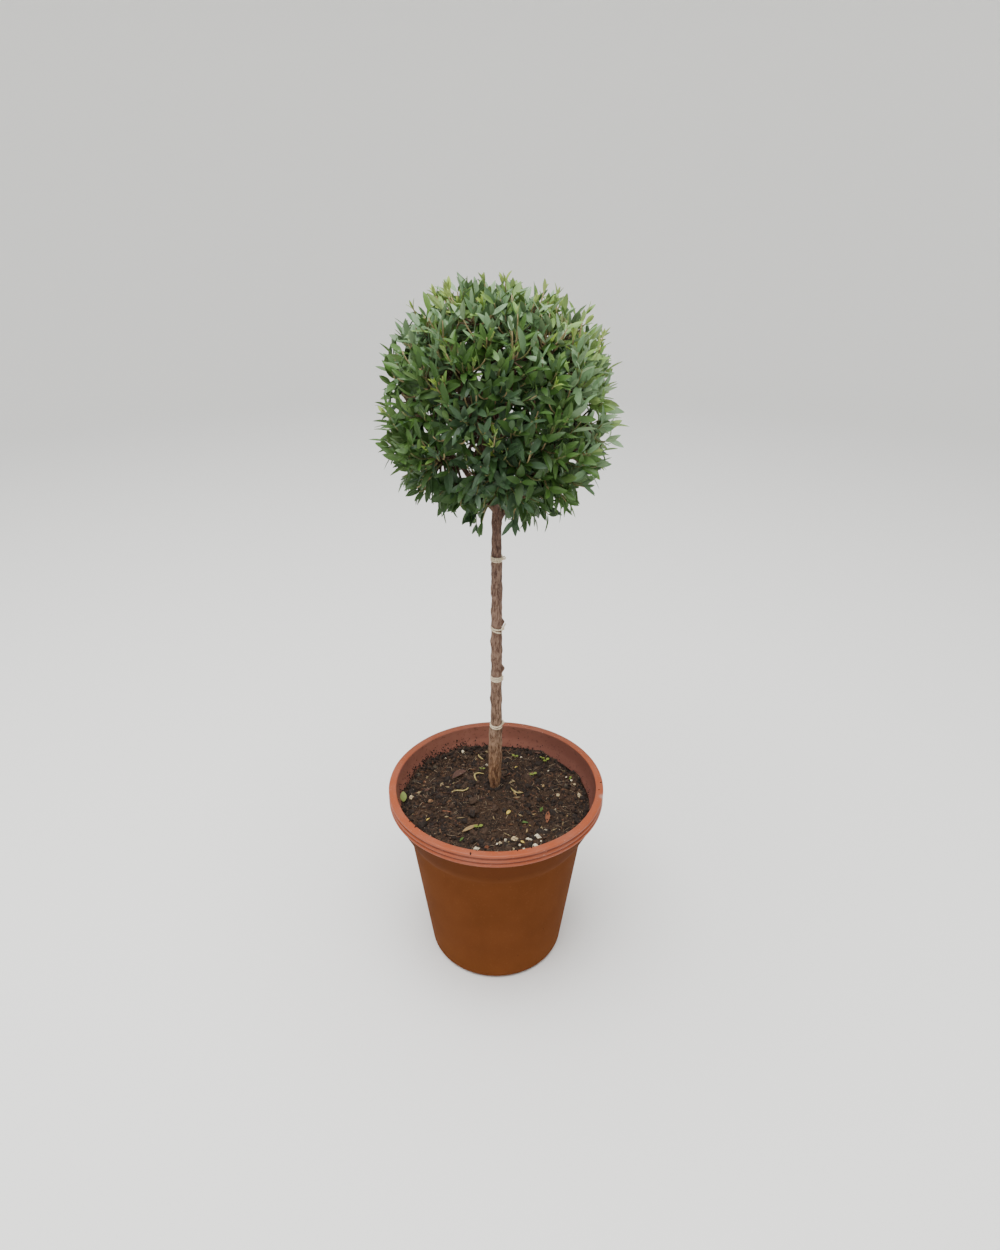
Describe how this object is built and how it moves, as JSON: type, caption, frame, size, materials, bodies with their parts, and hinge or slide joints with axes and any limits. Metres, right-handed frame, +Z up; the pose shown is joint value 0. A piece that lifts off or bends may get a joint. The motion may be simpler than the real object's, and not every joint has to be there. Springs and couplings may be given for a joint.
{
  "type": "potted myrtle standard topiary",
  "caption": "Evergreen standard topiary: a clipped ball of small opposite leaves on one bare stem tied with twine, growing in compost in a flared round pot.",
  "frame": {"origin": "centre of the pot's flat underside, which stands on the ground", "axes": "+Z up along the pot and the stem; the pictured side faces -Y; +X is to the viewer's right"},
  "size_m": [0.28, 0.2844, 0.8815],
  "materials": {
    "pot_plastic": "moulded terracotta-coloured plastic, satin, lightly scuffed",
    "compost": "dark moist potting compost with flecks of bark and perlite",
    "bark": "grey-brown bark that flakes over orange-brown",
    "young_bark": "smooth red-brown young bark",
    "twine": "soft cream twine",
    "leaves": "leathery leaves, dark green with fresh yellow-green tips, satin"
  },
  "bodies": {
    "root": {"pot": "pot_plastic", "compost": "compost", "trunk": "bark", "tie_top": "twine", "tie_upper": "twine", "tie_lower": "twine", "tie_foot": "twine", "bough_low_1": "young_bark", "bough_low_2": "young_bark", "bough_low_3": "young_bark", "bough_low_4": "young_bark", "bough_high_1": "young_bark", "bough_high_2": "young_bark", "bough_high_3": "young_bark", "bough_high_4": "young_bark", "foliage_low_1": "leaves", "foliage_low_2": "leaves", "foliage_low_3": "leaves", "foliage_low_4": "leaves", "foliage_high_1": "leaves", "foliage_high_2": "leaves", "foliage_high_3": "leaves", "foliage_high_4": "leaves", "foliage_top": "leaves"}
  },
  "joints": []
}
